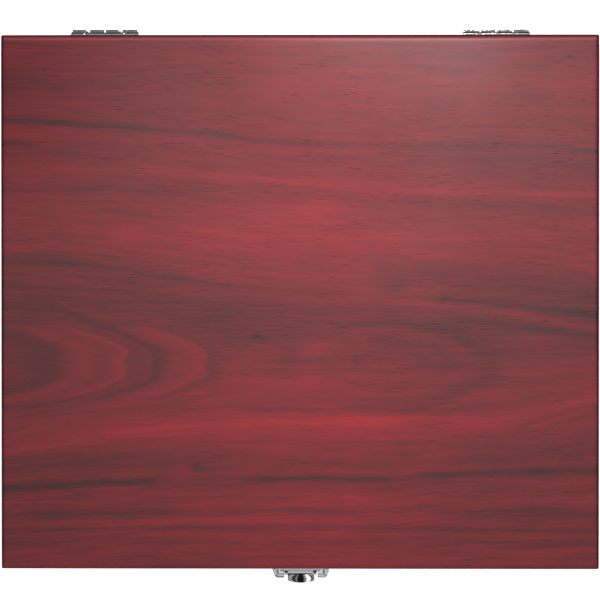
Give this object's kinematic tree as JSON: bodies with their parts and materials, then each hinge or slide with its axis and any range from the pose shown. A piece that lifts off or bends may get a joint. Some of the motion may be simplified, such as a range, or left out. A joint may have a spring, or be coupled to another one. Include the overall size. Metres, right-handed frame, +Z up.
{
  "type": "poker chip case",
  "caption": "Hinged wooden case with a sprung chrome latch, a padded lid, a routed rack for rows of gaming chips and wells for cards and dice.",
  "frame": {"origin": "centre of the whole footprint, hinges and latch included, on the plane the feet stand on", "axes": "+Z up, +X to the right seen from the latch side, -Y towards the latch side; the lid is closed at rest"},
  "size_m": [0.31, 0.2918, 0.068],
  "materials": {
    "mahogany_wood": "red mahogany stain under a satin lacquer",
    "bottom_board": "thin stained board, one coat of matt lacquer",
    "insert_flocked": "machined fibreboard with dark green flock",
    "lining_cloth": "dark green felt over thin foam",
    "polished_chrome": "polished nickel-chrome plate",
    "spring_steel": "blued spring steel",
    "foot_rubber": "moulded black rubber"
  },
  "bodies": {
    "base": {"base_front_board": "mahogany_wood", "base_back_board": "mahogany_wood", "base_left_board": "mahogany_wood", "base_right_board": "mahogany_wood", "bottom_panel": "bottom_board", "feet": "foot_rubber", "chip_rack": "insert_flocked", "card_tray": "insert_flocked", "hinge_left_base_leaf": "polished_chrome", "hinge_left_base_screws": "polished_chrome", "hinge_left_pin": "polished_chrome", "hinge_right_base_leaf": "polished_chrome", "hinge_right_base_screws": "polished_chrome", "hinge_right_pin": "polished_chrome", "latch_back_plate": "polished_chrome", "latch_housing": "polished_chrome", "latch_housing_screws": "polished_chrome", "latch_lever_pin": "polished_chrome", "latch_spring": "spring_steel"},
    "lid": {"lid_front_board": "mahogany_wood", "lid_back_board": "mahogany_wood", "lid_left_board": "mahogany_wood", "lid_right_board": "mahogany_wood", "lid_top_panel": "mahogany_wood", "lid_lining_pad": "lining_cloth", "hinge_left_lid_leaf": "polished_chrome", "hinge_left_lid_screws": "polished_chrome", "hinge_right_lid_leaf": "polished_chrome", "hinge_right_lid_screws": "polished_chrome", "latch_catch_plate": "polished_chrome", "latch_catch_screws": "polished_chrome"},
    "latch": {"latch_lever": "polished_chrome"}
  },
  "joints": [
    {"name": "lid_hinge", "type": "hinge", "parent": "base", "child": "lid", "pos_m": [0, 0.14367, 0.04415], "axis": [-1, 0, 0], "range_deg": [0, 100]},
    {"name": "latch_press", "type": "hinge", "parent": "base", "child": "latch", "pos_m": [0, -0.13843, 0.0355], "axis": [1, 0, 0], "range_deg": [0, 13], "stiffness_Nm_per_rad": 0.02, "deforming": ["latch_spring"]}
  ]
}
